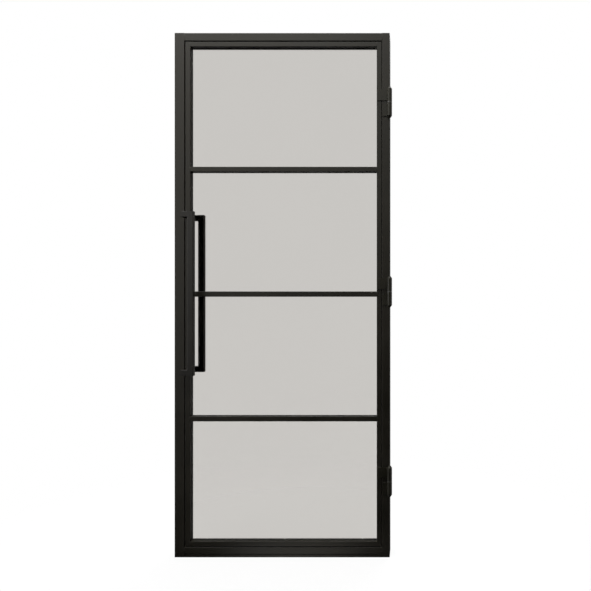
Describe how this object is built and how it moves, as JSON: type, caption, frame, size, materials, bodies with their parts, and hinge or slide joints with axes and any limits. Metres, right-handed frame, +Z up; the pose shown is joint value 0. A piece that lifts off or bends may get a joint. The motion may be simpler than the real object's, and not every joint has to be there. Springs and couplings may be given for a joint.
{
  "type": "glass door",
  "caption": "Slim black steel door glazed with clear panes between level bars, hung on barrel hinges in its own steel frame, with a long pull handle on each side.",
  "frame": {"origin": "middle of the underside of the frame's sill strip", "axes": "+X towards the hinge side, +Y from the front (hinge knuckles) to the back, +Z up"},
  "size_m": [0.89, 0.146, 2.145],
  "materials": {
    "coated_steel": "satin black powder coat",
    "pane_glass": "clear, faintly grey",
    "black_rubber": "matt",
    "block_plastic": "matt",
    "zinc_steel": "zinc plated",
    "washer_nylon": "black nylon"
  },
  "bodies": {
    "frame": {"lock_jamb": "coated_steel", "hinge_jamb": "coated_steel", "head": "coated_steel", "threshold": "coated_steel", "sill_strip": "coated_steel", "lock_stop": "coated_steel", "hinge_stop": "coated_steel", "head_stop": "coated_steel", "lock_seal": "black_rubber", "hinge_seal": "black_rubber", "head_seal": "black_rubber", "catch_magnet": "zinc_steel", "hinge_base_low": "coated_steel", "hinge_base_mid": "coated_steel", "hinge_base_top": "coated_steel", "hinge_pin_low": "zinc_steel", "hinge_pin_mid": "zinc_steel", "hinge_pin_top": "zinc_steel", "hinge_washer_low": "washer_nylon", "hinge_washer_mid": "washer_nylon", "hinge_washer_top": "washer_nylon"},
    "leaf": {"hinge_strap_low": "coated_steel", "hinge_strap_mid": "coated_steel", "hinge_strap_top": "coated_steel", "lock_stile": "coated_steel", "hinge_stile": "coated_steel", "top_rail": "coated_steel", "bottom_rail": "coated_steel", "bar_1": "coated_steel", "bar_2": "coated_steel", "bar_3": "coated_steel", "glass_1": "pane_glass", "glass_2": "pane_glass", "glass_3": "pane_glass", "glass_4": "pane_glass", "front_gasket_1": "black_rubber", "front_gasket_2": "black_rubber", "front_gasket_3": "black_rubber", "front_gasket_4": "black_rubber", "rear_gasket_1": "black_rubber", "rear_gasket_2": "black_rubber", "rear_gasket_3": "black_rubber", "rear_gasket_4": "black_rubber", "bead_1": "coated_steel", "bead_2": "coated_steel", "bead_3": "coated_steel", "bead_4": "coated_steel", "bead_screws": "zinc_steel", "setting_blocks": "block_plastic", "front_handle": "coated_steel", "rear_handle": "coated_steel", "handle_studs": "zinc_steel"}
  },
  "joints": [
    {"name": "leaf_swing", "type": "hinge", "parent": "frame", "child": "leaf", "pos_m": [0.44, -0.051, 1], "axis": [0, 0, 1], "range_deg": [0, 165]}
  ]
}
